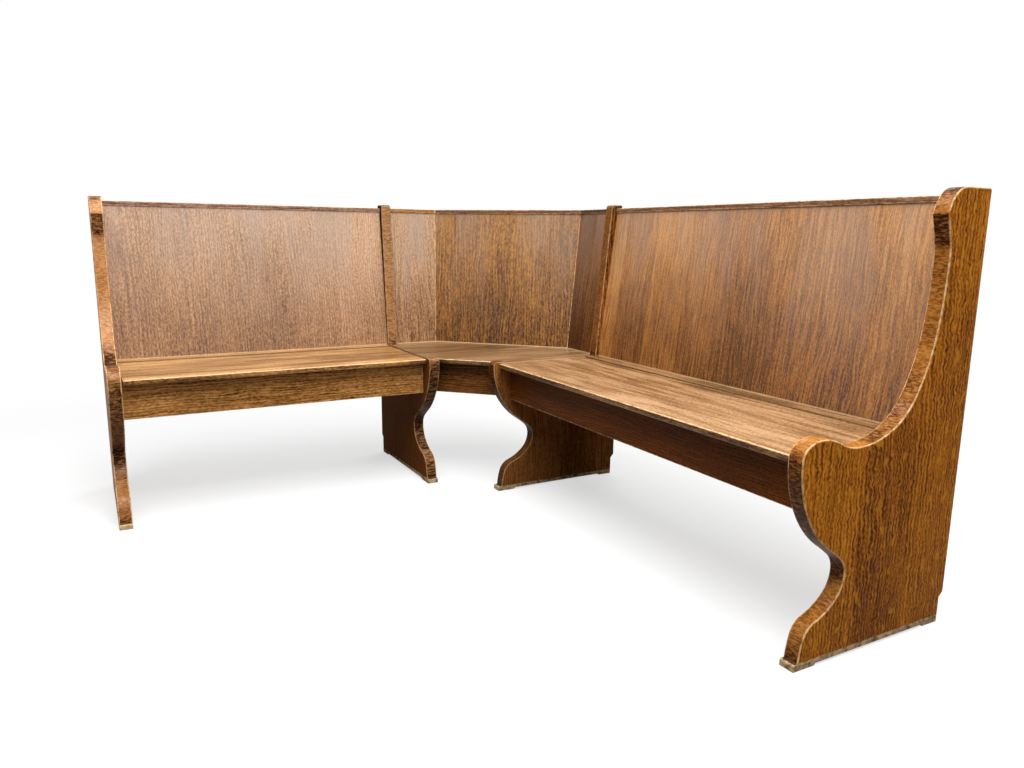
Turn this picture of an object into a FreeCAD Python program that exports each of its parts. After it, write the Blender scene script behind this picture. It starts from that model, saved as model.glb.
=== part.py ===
import FreeCAD, Part
import math
import os

# Corner bench in oak: two straight benches that meet at a fixed corner seat.
# Working frame: X runs right along the left bench, Y runs away along the right bench, Z is up.
# The two back planes cross at X = Y = 0 at seat level. "Reach" is the distance forward of a back plane.
# The right bench is the left one mirrored in the plane X = Y, with its own length.

# Main sizes
seat_height = 460.0
seat_reach = 414.0
seat_thickness = 16.0
left_bay = 970.0
right_bay = 1280.0
corner_leg = 600.0
corner_splay = 390.0
back_rake = math.radians(7.2)
rail_drop = 12.0
rail_thickness = 15.0
rail_depth = 25.0
rail_proud = 4.0
panel_thickness = 12.0

# Scrolled end boards
end_thickness = 38.0
end_top = 1004.0
rear_reach = -86.5
rear_corner_radius = 6.0
skirting_notch_depth = 12.0
skirting_notch_height = 74.0
shoe_height = 16.0
toe_reach = 398.0
toe_heading = 94.0
instep_reach = 355.0
instep_height = 102.5
instep_heading = 160.0
waist_reach = 276.0
waist_height = 193.0
throat_reach = 327.5
throat_height = 254.0
throat_heading = 33.5
nose_reach = 433.0
nose_drop = 3.0
arm_bump_reach = 378.0
arm_bump_rise = 39.0
arm_dip_reach = 264.5
arm_dip_rise = 11.0
sweep_reach = 98.0
sweep_rise = 99.5
sweep_heading = 120.0
wing_reach = 34.5
wing_drop = 153.0
hollow_reach = 38.5
hollow_drop = 115.0
lip_reach = 54.5
lip_drop = 57.5
lip_heading = 100.0
crown_reach = -3.0
inner_nose_rise = 4.0
inner_nose_length = 42.0
inner_nose_radius = 14.0
upright_reach_seat = 12.0
upright_reach_top = -43.0
upright_top_radius = 10.0

# Shoes under the ends
shoe_front_proud = 12.0
shoe_rear_inset = 1.0
shoe_relief = 5.0
front_pad_length = 63.0
rear_pad_length = 52.0
shoe_edge_chamfer = 3.0

# Seat frame and tray
apron_setback = 43.0
apron_thickness = 22.0
apron_height = 112.0
rear_rail_reach = 8.0
rear_rail_thickness = 20.0
bearer_width = 22.0
bearer_height = 40.0
tray_depth = 88.0
tray_floor_thickness = 8.0
ledge_size = 14.0
strip_rear_overhang = 20.0
cleat_width = 30.0
cleat_thickness = 8.0
joint_block_width = 45.0
joint_block_thickness = 8.0

# Seat lids and their continuous hinges
hinge_reach = 56.0
lid_gap_outer = 4.0
lid_gap_inner = 3.0
seat_front_round = 4.0
knuckle_radius = 3.0
knuckle_clearance = 0.3
knuckle_pitch = 180.0
knuckle_end_gap = 0.5
leaf_thickness = 1.2
leaf_depth = 14.0
pin_radius = 1.4
pin_clearance = 0.05

# Bolts that hold the corner between the straight benches
bolt_radius = 4.0
bolt_hole_clearance = 0.3
bolt_thread_clearance = 0.05
bolt_reaches = (110.0, 270.0)
bolt_head_flats = 13.0
bolt_head_height = 5.3
nut_height = 6.5
bolt_tail = 3.0
washer_radius = 8.0
washer_thickness = 1.6
seat_notch_clearance = 0.5

# Headings along an outline, in degrees: 0 is forward
UP = 90.0
BACK = 180.0
DOWN = 270.0

# Two lengths that differ by less than this are the same
same = 1e-6

# Sizes that follow from the ones above
seat_underside = seat_height - seat_thickness
apron_bottom = seat_underside - apron_height
rail_top = end_top - rail_drop
rail_bottom = rail_top - rail_thickness
apron_reach = seat_reach - apron_setback
apron_rear_reach = apron_reach - apron_thickness
rear_rail_front = rear_rail_reach + rear_rail_thickness
tray_floor_top = seat_underside - tray_depth
bearer_bottom = seat_underside - bearer_height
bolt_height = seat_underside - bearer_height / 2
panel_depth = panel_thickness / math.cos(back_rake)
cleat_depth = cleat_thickness / math.cos(back_rake)
knuckle_room = knuckle_radius + knuckle_clearance
inner_nose_start = nose_reach - inner_nose_length
inner_nose_top = seat_height + inner_nose_rise
left_outer_x = -(corner_leg + left_bay + end_thickness)
right_outer_y = -(corner_leg + right_bay + end_thickness)
rear_limit = -rear_reach
centre_x = (left_outer_x + rear_limit) / 2
centre_y = (right_outer_y + rear_limit) / 2


def back_offset(height):
    """How far behind its seat-level line the back's front face lies at a height."""
    return math.tan(back_rake) * (height - seat_height)


def upright_reach(height):
    """Reach of the narrow upright's leaning front edge at a height."""
    share = (height - seat_height) / (end_top - seat_height)
    return upright_reach_seat + share * (upright_reach_top - upright_reach_seat)


def side_point(reach, height):
    """A point of a side outline of the left bench, in the plane X = 0."""
    return FreeCAD.Vector(0, -reach, height)


def line(start, end):
    return Part.LineSegment(start, end).toShape()


def arc(knot, end):
    """The arc that leaves a knot along its heading and ends at a (reach, height) point."""
    reach, height, heading = knot
    half_chord = math.dist((reach, height), end) / 2
    chord_heading = math.atan2(end[1] - height, end[0] - reach)
    turn = math.remainder(chord_heading - math.radians(heading), 2 * math.pi)
    bulge = half_chord * math.tan(turn / 2)
    middle = (
        (reach + end[0]) / 2 + bulge * math.sin(chord_heading),
        (height + end[1]) / 2 - bulge * math.cos(chord_heading),
    )
    return Part.Arc(side_point(reach, height), side_point(*middle), side_point(*end)).toShape()


def arc_joint(start, end):
    """Where two arcs meet in line, one leaving the start knot and one reaching the end knot, with equal tangents."""
    chord = FreeCAD.Vector(end[0] - start[0], end[1] - start[1], 0)
    leaving, reaching = [
        FreeCAD.Vector(math.cos(math.radians(knot[2])), math.sin(math.radians(knot[2])), 0)
        for knot in (start, end)
    ]
    spread = 2 * (1 - leaving.dot(reaching))
    along = chord.dot(leaving + reaching)
    if spread > same:
        tangent = (math.sqrt(along ** 2 + spread * chord.dot(chord)) - along) / spread
    else:
        tangent = chord.dot(chord) / (2 * along)
    step = (chord + (leaving - reaching) * tangent) * 0.5
    return (start[0] + step.x, start[1] + step.y)


def scroll(knots):
    """Pairs of arcs, in line with each other, through knots: each a reach, a height and a heading."""
    edges = []
    for start, end in zip(knots, knots[1:]):
        joint = arc_joint(start, end)
        turned_end = (end[0], end[1], end[2] + BACK)
        edges += [arc(start, joint), arc(turned_end, joint)]
    return edges


def polyline(points):
    """Straight edges through (reach, height) points."""
    vectors = [side_point(reach, height) for reach, height in points]
    return [line(start, end) for start, end in zip(vectors, vectors[1:])]


def extrude_side(edges, start_x, length):
    """A board from a closed side outline, thickened along X."""
    face = Part.Face(Part.Wire(Part.__sortEdges__(edges)))
    face.translate(FreeCAD.Vector(start_x, 0, 0))
    return face.extrude(FreeCAD.Vector(length, 0, 0))


def side_board(points, start_x, length):
    """A straight-edged board from (reach, height) corners."""
    return extrude_side(polyline(points + points[:1]), start_x, length)


def plan_board(points, bottom, height):
    """A board from (x, y) plan corners."""
    vectors = [FreeCAD.Vector(x, y, bottom) for x, y in points]
    face = Part.Face(Part.makePolygon(vectors + vectors[:1]))
    return face.extrude(FreeCAD.Vector(0, 0, height))


def raked_board(bottom_points, bottom, top_points, top):
    """A leaning board between two plan outlines with the same number of corners."""
    wires = []
    for points, height in ((bottom_points, bottom), (top_points, top)):
        vectors = [FreeCAD.Vector(x, y, height) for x, y in points]
        wires.append(Part.makePolygon(vectors + vectors[:1]))
    return Part.makeLoft(wires, True, True)


def block(x_low, x_high, reach_low, reach_high, bottom, top):
    """A square-edged timber of the left bench."""
    corner = FreeCAD.Vector(x_low, -reach_high, bottom)
    return Part.makeBox(x_high - x_low, reach_high - reach_low, top - bottom, corner)


def rod_along_x(radius, start_x, length, reach, height):
    return Part.makeCylinder(radius, length, FreeCAD.Vector(start_x, -reach, height), FreeCAD.Vector(1, 0, 0))


def hexagon_along_x(flats, start_x, length, reach, height):
    """A hexagonal prism along X, with two flats level."""
    radius = flats / math.sqrt(3)
    angles = [math.radians(60 * step) for step in range(6)]
    points = [(reach + radius * math.cos(a), height + radius * math.sin(a)) for a in angles]
    return side_board(points, start_x, length)


def group(solids):
    return Part.makeCompound(solids)


def mirrored(shape):
    """The right bench's copy of a left bench piece."""
    return shape.mirror(FreeCAD.Vector(0, 0, 0), FreeCAD.Vector(1, -1, 0))


def round_edges(board, radius, wanted):
    edges = [edge for edge in board.Edges if wanted(edge)]
    return board.makeFillet(radius, edges)


def lower_knots(nose_height):
    """Front outline that all four ends share: toe, instep, waist, throat and nose."""
    return [
        (toe_reach, shoe_height, toe_heading),
        (instep_reach, instep_height, instep_heading),
        (waist_reach, waist_height, UP),
        (throat_reach, throat_height, throat_heading),
        (nose_reach, nose_height, UP),
    ]


def top_and_rear(top_front):
    """Top, back and bottom of an end: round the rear corner, down past the skirting notch and on to the toe."""
    heel_reach = rear_reach + skirting_notch_depth
    corner_start = (rear_reach + rear_corner_radius, end_top)
    corner_end = (rear_reach, end_top - rear_corner_radius)
    edges = polyline([top_front, corner_start])
    edges += scroll([corner_start + (BACK,), corner_end + (DOWN,)])
    edges += polyline([
        corner_end,
        (rear_reach, skirting_notch_height),
        (heel_reach, skirting_notch_height - skirting_notch_depth),
        (heel_reach, shoe_height),
        (toe_reach, shoe_height),
    ])
    return edges


def outer_end_outline():
    """Full settle end: nose, dipped arm, swept wing, hollow, crisp lip and rounded crown."""
    hollow = (hollow_reach, end_top - hollow_drop)
    lip = (lip_reach, end_top - lip_drop)
    crown = (crown_reach, end_top)
    lip_slope = math.degrees(math.atan2(lip[1] - hollow[1], lip[0] - hollow[0]))
    front = lower_knots(seat_height - nose_drop) + [
        (arm_bump_reach, seat_height + arm_bump_rise, BACK),
        (arm_dip_reach, seat_height + arm_dip_rise, BACK),
        (sweep_reach, seat_height + sweep_rise, sweep_heading),
        (wing_reach, end_top - wing_drop, UP),
        hollow + (lip_slope,),
    ]
    return scroll(front) + polyline([hollow, lip]) + scroll([lip + (lip_heading,), crown + (BACK,)]) + top_and_rear(crown)


def inner_end_outline():
    """Same scroll below; above the seat only a narrow upright, with a ledge that carries the corner seat."""
    nose_turn = (nose_reach - inner_nose_radius, inner_nose_top)
    upright_foot = (upright_reach(seat_underside), seat_underside)
    upright_head = (upright_reach(end_top - upright_top_radius), end_top - upright_top_radius)
    upright_rise = upright_head[1] - upright_foot[1]
    upright_heading = math.degrees(math.atan2(upright_rise, upright_head[0] - upright_foot[0]))
    cap = (upright_reach_top - upright_top_radius, end_top)
    edges = scroll(lower_knots(inner_nose_top - inner_nose_radius) + [nose_turn + (BACK,)])
    edges += polyline([
        nose_turn,
        (inner_nose_start, inner_nose_top),
        (inner_nose_start, seat_underside),
        upright_foot,
        upright_head,
    ])
    edges += scroll([upright_head + (upright_heading,), cap + (BACK,)])
    return edges + top_and_rear(cap)


def shoe(start_x):
    """Strip under an end, relieved below so that it stands on a front and a rear pad."""
    front = toe_reach + shoe_front_proud
    rear = rear_reach + skirting_notch_depth + shoe_rear_inset
    pad_front = front - front_pad_length
    pad_rear = rear + rear_pad_length
    return side_board([
        (front, 0),
        (front, shoe_height - shoe_edge_chamfer),
        (front - shoe_edge_chamfer, shoe_height),
        (rear, shoe_height),
        (rear, 0),
        (pad_rear, 0),
        (pad_rear + shoe_relief, shoe_relief),
        (pad_front - shoe_relief, shoe_relief),
        (pad_front, 0),
    ], start_x, end_thickness)


def outer_end(bay):
    return extrude_side(outer_end_outline(), -(corner_leg + bay + end_thickness), end_thickness)


def inner_end():
    board = extrude_side(inner_end_outline(), -corner_leg, end_thickness)
    for reach in bolt_reaches:
        hole = rod_along_x(bolt_radius + bolt_hole_clearance, -corner_leg, end_thickness, reach, bolt_height)
        board = board.cut(hole)
    return board


def back_cleat(start_x):
    """Raked batten that holds a back panel to the face of an end."""
    front_low = -panel_depth
    front_high = -panel_depth - back_offset(rail_bottom)
    return side_board([
        (front_low, seat_height),
        (front_high, rail_bottom),
        (front_high - cleat_depth, rail_bottom),
        (front_low - cleat_depth, seat_height),
    ], start_x, cleat_width)


def straight_panel(start_x, length):
    """Raked back panel that stands on the hinge strip, under the top rail."""
    lean = back_offset(rail_bottom)
    return side_board([
        (0, seat_height),
        (-lean, rail_bottom),
        (-lean - panel_depth, rail_bottom),
        (-panel_depth, seat_height),
    ], start_x, length)


def straight_rail(start_x, length):
    front = rail_proud - back_offset(rail_bottom)
    return block(start_x, start_x + length, front - rail_depth, front, rail_bottom, rail_top)


def hinge_knuckles(bay):
    """Start and length along X of each knuckle, from the lid's inner end outwards; the last takes what is left."""
    inner = -(corner_leg + lid_gap_inner)
    outer = -(corner_leg + bay - lid_gap_outer)
    count = round((inner - outer) / knuckle_pitch)
    joints = [inner - knuckle_pitch * index for index in range(count)] + [outer]
    return [
        (low + knuckle_end_gap / 2, high - low - knuckle_end_gap)
        for high, low in zip(joints, joints[1:])
    ]


def hinge_leaf(bay, parity, plate_low, plate_high):
    """One leaf: a plate in the joint and every second knuckle, bored for the pin."""
    knuckles = hinge_knuckles(bay)
    start = knuckles[-1][0]
    end = knuckles[0][0] + knuckles[0][1]
    plate_top = seat_height - knuckle_room - knuckle_clearance
    leaf = block(start, end, plate_low, plate_high, seat_height - leaf_depth, plate_top)
    pieces = []
    for start_x, length in knuckles[parity::2]:
        pieces.append(rod_along_x(knuckle_radius, start_x, length, hinge_reach, seat_height))
        pieces.append(block(start_x, start_x + length, plate_low, plate_high, plate_top, seat_height))
    leaf = leaf.multiFuse(pieces)
    bore = rod_along_x(pin_radius + pin_clearance, start, end - start, hinge_reach, seat_height)
    return leaf.cut(bore)


def straight_bench(bay):
    """Pieces of one straight bench, in the left bench's place."""
    inner_face = -corner_leg
    outer_face = -(corner_leg + bay)
    strip_front = hinge_reach - knuckle_room
    lid_rear = hinge_reach + knuckle_room
    lid_start = outer_face + lid_gap_outer
    lid_end = inner_face - lid_gap_inner
    bolt_holes = [
        rod_along_x(bolt_radius + bolt_hole_clearance, inner_face - bearer_width, bearer_width, reach, bolt_height)
        for reach in bolt_reaches
    ]
    inner_bearer = block(inner_face - bearer_width, inner_face, rear_rail_front, apron_rear_reach,
                         bearer_bottom, seat_underside)
    outer_bearer = block(outer_face, outer_face + bearer_width, rear_rail_front, apron_rear_reach,
                         bearer_bottom, seat_underside)
    ledge_top = tray_floor_top - tray_floor_thickness
    lid = block(lid_start, lid_end, lid_rear, seat_reach, seat_underside, seat_height)
    lid = round_edges(lid, seat_front_round, lambda edge: abs(edge.CenterOfMass.y + seat_reach) < same
                      and edge.BoundBox.ZLength < same)
    knuckles = hinge_knuckles(bay)
    pin_start = knuckles[-1][0]
    pin_length = knuckles[0][0] + knuckles[0][1] - pin_start
    return {
        "outer_end": outer_end(bay),
        "outer_shoe": shoe(outer_face - end_thickness),
        "inner_end": inner_end(),
        "inner_shoe": shoe(inner_face),
        "back_panel": straight_panel(outer_face, bay),
        "top_rail": straight_rail(outer_face, bay),
        "apron": block(outer_face, inner_face, apron_rear_reach, apron_reach, apron_bottom, seat_underside),
        "hinge_strip": block(outer_face, inner_face, -strip_rear_overhang, strip_front, seat_underside, seat_height),
        "rear_rail": block(outer_face, inner_face, rear_rail_reach, rear_rail_front, apron_bottom, seat_underside),
        "tray_floor": block(outer_face, inner_face, rear_rail_front, apron_rear_reach, ledge_top, tray_floor_top),
        "tray_ledges": group([
            block(outer_face, inner_face, rear_rail_front, rear_rail_front + ledge_size,
                  ledge_top - ledge_size, ledge_top),
            block(outer_face, inner_face, apron_rear_reach - ledge_size, apron_rear_reach,
                  ledge_top - ledge_size, ledge_top),
        ]),
        "seat_bearers": group([inner_bearer.cut(bolt_holes[0]).cut(bolt_holes[1]), outer_bearer]),
        "back_cleats": group([back_cleat(inner_face - cleat_width), back_cleat(outer_face)]),
        "seat_lid": lid,
        "hinge_fixed_leaf": hinge_leaf(bay, 0, strip_front, strip_front + leaf_thickness),
        "hinge_lid_leaf": hinge_leaf(bay, 1, lid_rear - leaf_thickness, lid_rear),
        "hinge_pin": rod_along_x(pin_radius, pin_start, pin_length, hinge_reach, seat_height),
    }


def splay_point(offset):
    """Plan point of the joint between the left back and the diagonal, an offset behind the seat-level line."""
    return (-corner_splay + offset * math.tan(math.pi / 8), offset)


def swapped(point):
    return (point[1], point[0])


def side_strip(front, rear):
    """Plan outline of a left corner piece between two offsets, from the inner end to the splay joint."""
    inner_x = -(corner_leg - end_thickness)
    return [(inner_x, front), splay_point(front), splay_point(rear), (inner_x, rear)]


def diagonal_strip(front, rear):
    """Plan outline of a diagonal corner piece between two offsets."""
    return [splay_point(front), swapped(splay_point(front)), swapped(splay_point(rear)), splay_point(rear)]


def corner_seat():
    """Fixed seat: notched round both noses and both uprights, over the ends' top edges."""
    inner = corner_leg - end_thickness
    upright = upright_reach(seat_underside) + seat_notch_clearance
    nose = inner_nose_start - seat_notch_clearance
    left_side = [
        (-inner, strip_rear_overhang),
        (-inner, -upright),
        (-corner_leg, -upright),
        (-corner_leg, -nose),
        (-inner, -nose),
        (-inner, -seat_reach),
    ]
    right_side = [swapped(point) for point in reversed(left_side)]
    rear = [swapped(splay_point(strip_rear_overhang)), splay_point(strip_rear_overhang)]
    seat = plan_board(left_side + right_side + rear, seat_underside, seat_thickness)

    def on_front(edge):
        middle = edge.CenterOfMass
        return abs(middle.x + middle.y + inner + seat_reach) < same and edge.BoundBox.ZLength < same

    return round_edges(seat, seat_front_round, on_front)


def corner_apron():
    """Diagonal apron between the two inner ends, set back as far as the straight ones."""
    inner = corner_leg - end_thickness
    front = seat_reach - apron_setback * math.sqrt(2)
    rear = front - apron_thickness * math.sqrt(2)
    return plan_board([(-inner, -front), (-front, -inner), (-rear, -inner), (-inner, -rear)],
                      apron_bottom, apron_height)


def joint_block():
    """Bent batten behind the joint of the left and diagonal backs, from seat to rail."""
    outlines = []
    for height in (seat_height, rail_bottom):
        front = back_offset(height) + panel_depth
        rear = front + joint_block_thickness / math.cos(back_rake)
        front_corner = splay_point(front)
        rear_corner = splay_point(rear)
        step = joint_block_width / math.sqrt(2)
        outlines.append([
            (front_corner[0] - joint_block_width, front),
            front_corner,
            (front_corner[0] + step, front_corner[1] - step),
            (rear_corner[0] + step, rear_corner[1] - step),
            rear_corner,
            (rear_corner[0] - joint_block_width, rear),
        ])
    return raked_board(outlines[0], seat_height, outlines[1], rail_bottom)


def corner_panel(strip):
    """Raked corner back panel from its plan strip."""
    lean = back_offset(rail_bottom)
    return raked_board(strip(0, panel_depth), seat_height, strip(lean, lean + panel_depth), rail_bottom)


def corner_rail(strip):
    front = back_offset(rail_bottom) - rail_proud
    return plan_board(strip(front, front + rail_depth), rail_bottom, rail_thickness)


def corner_rear_rail(strip):
    return plan_board(strip(-rear_rail_front, -rear_rail_reach), apron_bottom, apron_height)


def corner_bearer():
    """Bearer on the corner side of the left inner end, drilled for the joining bolts."""
    inner_x = -(corner_leg - end_thickness)
    apron_rear = seat_reach - (apron_setback + apron_thickness) * math.sqrt(2)
    bearer = block(inner_x, inner_x + bearer_width, rear_rail_front, apron_rear, bearer_bottom, seat_underside)
    for reach in bolt_reaches:
        bearer = bearer.cut(rod_along_x(bolt_radius + bolt_hole_clearance, inner_x, bearer_width, reach, bolt_height))
    return bearer


def corner_pieces():
    """Pieces of the fixed corner between the two inner ends."""
    inner_x = -(corner_leg - end_thickness)
    bearer = corner_bearer()
    cleat = back_cleat(inner_x)
    joint = joint_block()
    left_panel = corner_panel(side_strip)
    left_rail = corner_rail(side_strip)
    left_rear_rail = corner_rear_rail(side_strip)
    return {
        "corner_seat": corner_seat(),
        "corner_apron": corner_apron(),
        "corner_left_panel": left_panel,
        "corner_diagonal_panel": corner_panel(diagonal_strip),
        "corner_right_panel": mirrored(left_panel),
        "corner_left_rail": left_rail,
        "corner_diagonal_rail": corner_rail(diagonal_strip),
        "corner_right_rail": mirrored(left_rail),
        "corner_left_rear_rail": left_rear_rail,
        "corner_diagonal_rear_rail": corner_rear_rail(diagonal_strip),
        "corner_right_rear_rail": mirrored(left_rear_rail),
        "corner_seat_bearers": group([bearer, mirrored(bearer)]),
        "corner_back_cleats": group([cleat, mirrored(cleat)]),
        "corner_joint_blocks": group([joint, mirrored(joint)]),
    }


def joining_fasteners():
    """Bolts through a bench bearer, an inner end and a corner bearer, with their nuts and washers."""
    head_face = -corner_leg - bearer_width
    nut_face = -corner_leg + end_thickness + bearer_width
    shank = nut_face - head_face + 2 * washer_thickness + nut_height + bolt_tail
    bolts = []
    nuts = []
    washers = []
    for reach in bolt_reaches:
        shank_start = head_face - washer_thickness
        head = hexagon_along_x(bolt_head_flats, shank_start - bolt_head_height, bolt_head_height, reach, bolt_height)
        bolts.append(head.fuse(rod_along_x(bolt_radius, shank_start, shank, reach, bolt_height)))
        nut_start = nut_face + washer_thickness
        nut = hexagon_along_x(bolt_head_flats, nut_start, nut_height, reach, bolt_height)
        nuts.append(nut.cut(rod_along_x(bolt_radius + bolt_thread_clearance, nut_start, nut_height,
                                        reach, bolt_height)))
        for start in (shank_start, nut_face):
            disc = rod_along_x(washer_radius, start, washer_thickness, reach, bolt_height)
            hole = rod_along_x(bolt_radius + bolt_hole_clearance, start, washer_thickness, reach, bolt_height)
            washers.append(disc.cut(hole))
    named = {"joining_bolts": bolts, "joining_nuts": nuts, "joining_washers": washers}
    return {name: group(solids + [mirrored(solid) for solid in solids]) for name, solids in named.items()}


def all_pieces():
    pieces = {}
    for suffix, shape in straight_bench(left_bay).items():
        pieces["left_" + suffix] = shape
    for suffix, shape in straight_bench(right_bay).items():
        pieces["right_" + suffix] = mirrored(shape)
    pieces.update(corner_pieces())
    pieces.update(joining_fasteners())
    return pieces


os.makedirs("parts", exist_ok=True)
for node, shape in all_pieces().items():
    shape.translate(FreeCAD.Vector(-centre_x, -centre_y, 0))
    shape.exportStep("parts/" + node + ".step")
    print(node, len(shape.Solids), round(shape.Volume / 1000.0, 1), shape.isValid())
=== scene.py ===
import math
from types import SimpleNamespace

import bmesh
import bpy
from mathutils import Matrix, Vector


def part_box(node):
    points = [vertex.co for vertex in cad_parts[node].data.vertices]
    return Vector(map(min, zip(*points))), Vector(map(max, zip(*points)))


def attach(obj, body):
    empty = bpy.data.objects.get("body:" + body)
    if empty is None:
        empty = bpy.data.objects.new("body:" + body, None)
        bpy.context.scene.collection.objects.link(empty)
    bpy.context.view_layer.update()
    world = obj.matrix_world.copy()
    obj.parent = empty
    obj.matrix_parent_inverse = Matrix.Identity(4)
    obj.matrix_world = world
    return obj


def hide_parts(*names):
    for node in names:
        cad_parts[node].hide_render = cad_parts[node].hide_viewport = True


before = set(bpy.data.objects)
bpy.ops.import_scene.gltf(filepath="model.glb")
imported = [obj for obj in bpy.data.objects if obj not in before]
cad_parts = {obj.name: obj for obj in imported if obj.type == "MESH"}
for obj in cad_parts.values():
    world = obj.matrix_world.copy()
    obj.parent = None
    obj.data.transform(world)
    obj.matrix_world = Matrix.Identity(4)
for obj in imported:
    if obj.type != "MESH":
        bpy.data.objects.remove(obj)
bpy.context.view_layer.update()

# All lengths are in metres, in the frame of the solids: X right along the left bench, Y away, Z up.

# Camera fitted to the bench's edges; the image is taken as 1024 by 768 pixels
image_width = 1024
sensor_width = 36.0
focal_pixels = 775.6
camera_place = Vector((-0.8835, -2.0112, 0.8918))
camera_yaw = 0.5039
camera_pitch = -0.1889
camera_roll = 0.0114

# Arrises and the worn band beside them
end_round = 0.0022
board_round = 0.0014
thin_round = 0.0008
arris_steps = 3
wear_width = 0.0045
seat_band = 0.0015
band_room = 2.1  # a face narrower than this many bands gets none
upper_turn = 0.4  # least upward part of the normal on a seat's worn arrises
rear_turn = 0.5  # least rearward part of the normal on the rear of a back

# Telling flat, rounded and crisp edges apart in the solids' facets
weld = 1.0e-6
flat_turn = math.radians(1.0)
crisp_turn = math.radians(20.0)
shade_turn = math.radians(40.0)
long_run = 2.5

# Fine continuous hinge
knuckle_pitch = 0.025
knuckle_gap = 0.0004
knuckle_radius = 0.003
knuckle_chamfer = 0.0005
knuckle_sides = 16
leaf_thickness = 0.0012
leaf_top_drop = 0.0036

X = Vector((1, 0, 0))
Y = Vector((0, 1, 0))
Z = Vector((0, 0, 1))
DIAGONAL = Vector((1, -1, 0)).normalized()

# Grain of the back panels leans with them
back_rake = math.radians(7.2)
LEFT_BACK = Z * math.cos(back_rake) + Y * math.sin(back_rake)
RIGHT_BACK = Z * math.cos(back_rake) + X * math.sin(back_rake)
CORNER_BACK = Z * math.cos(back_rake) + (X + Y).normalized() * math.sin(back_rake)


def colour(code):
    """Linear colour from a six-digit sRGB code."""
    parts = [int(code[i:i + 2], 16) / 255 for i in (0, 2, 4)]
    linear = [c / 12.92 if c <= 0.04045 else ((c + 0.055) / 1.055) ** 2.4 for c in parts]
    return (*linear, 1.0)


class Graph:
    """One material and short hands for building its nodes."""

    def __init__(self, name, tree=None):
        if tree is None:
            self.material = bpy.data.materials.new(name)
            self.material.use_nodes = True
            tree = self.material.node_tree
        self.tree = tree
        self.shader = tree.nodes.get("Principled BSDF")
        self.place = self.add("ShaderNodeTexCoord").outputs["Object"]

    def add(self, kind, inputs=(), **settings):
        made = self.tree.nodes.new(kind)
        for key, value in settings.items():
            setattr(made, key, value)
        for key, value in dict(inputs).items():
            self.feed(made.inputs[key], value)
        return made

    def feed(self, socket, value):
        if isinstance(value, bpy.types.NodeSocket):
            self.tree.links.new(value, socket)
        else:
            socket.default_value = value

    def maths(self, operation, *values):
        return self.add("ShaderNodeMath", enumerate(values), operation=operation).outputs[0]

    def vector(self, operation, *values):
        made = self.add("ShaderNodeVectorMath", enumerate(values), operation=operation)
        return made.outputs["Value" if operation == "LENGTH" else "Vector"]

    def dot(self, axis):
        """Distance along an axis."""
        made = self.add("ShaderNodeVectorMath", {0: self.place, 1: axis}, operation="DOT_PRODUCT")
        return made.outputs["Value"]

    def upward(self):
        """How far a face at rest looks up, from -1 to 1."""
        normal = self.add("ShaderNodeTexCoord").outputs["Normal"]
        return self.add("ShaderNodeSeparateXYZ", {0: normal}).outputs[2]

    def join(self, x, y, z):
        return self.add("ShaderNodeCombineXYZ", {0: x, 1: y, 2: z}).outputs[0]

    def noise(self, place, scale, detail=2.0, roughness=0.5):
        """Noise from 0 to 1 with a number of features per metre along each axis."""
        scaled = self.vector("MULTIPLY", place, scale)
        inputs = {"Vector": scaled, "Scale": 1.0, "Detail": detail, "Roughness": roughness}
        return self.add("ShaderNodeTexNoise", inputs).outputs["Fac"]

    def dice(self, value):
        """A fixed random number from 0 to 1 for each whole number."""
        return self.add("ShaderNodeTexWhiteNoise", {"W": value}, noise_dimensions="1D").outputs["Value"]

    def between(self, value, low, high, start=0.0, end=1.0):
        """Smooth step from start to end as a value goes from low to high."""
        inputs = {"Value": value, "From Min": low, "From Max": high, "To Min": start, "To Max": end}
        return self.add("ShaderNodeMapRange", inputs, interpolation_type="SMOOTHSTEP").outputs[0]

    def ramp(self, factor, stops):
        """Colour from (position, colour) stops."""
        made = self.add("ShaderNodeValToRGB", {"Fac": factor})
        elements = made.color_ramp.elements
        while len(elements) < len(stops):
            elements.new(1.0)
        for element, (position, tint) in zip(elements, stops):
            element.position = position
            element.color = tint
        return made.outputs["Color"]

    def mix(self, factor, first, second):
        """Colour between two colours."""
        inputs = {"Factor": factor, 6: first, 7: second}
        return self.add("ShaderNodeMix", inputs, data_type="RGBA").outputs[2]

    def bump(self, height, strength, distance):
        inputs = {"Height": height, "Strength": strength, "Distance": distance}
        normal = self.add("ShaderNodeBump", inputs).outputs["Normal"]
        self.feed(self.shader.inputs["Normal"], normal)

    def finish(self, **values):
        """Sets sockets of the shader by name, with _ for a space."""
        for key, value in values.items():
            self.feed(self.shader.inputs[key.replace("_", " ")], value)
        return self.material


def signed(g, value, amount):
    """Noise from 0 to 1 turned into a shift either way."""
    return g.maths("MULTIPLY", g.maths("SUBTRACT", value, 0.5), amount)


def total(g, *values):
    """Sum of any number of values."""
    result = values[0]
    for value in values[1:]:
        result = g.maths("ADD", result, value)
    return result


# Tones that all stains share
# pale grey-pink of the painted glare on the backs
glare_tone = colour("9c8c80")
rubbed_tone = colour("e3c090")
edge_shade = colour("331504")

# Wear on arrises: features per metre, how far it is broken up, and where it sets in
rub_scale = (60.0, 60.0, 60.0)
rub_break = 1.3
rub_from = 0.72
rub_full = 1.15


def rubbed(g, base, strength):
    """Rubbed arrises: paler, broken up along the edge. Returns the colour and how bare the wood is."""
    near = g.add("ShaderNodeAttribute", attribute_name="wear").outputs["Fac"]
    rub = g.noise(g.place, rub_scale, 4.0, 0.7)
    bare = g.between(g.maths("ADD", near, signed(g, rub, rub_break)), rub_from, rub_full)
    return g.mix(g.maths("MULTIPLY", bare, strength), base, rubbed_tone), bare


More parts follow.
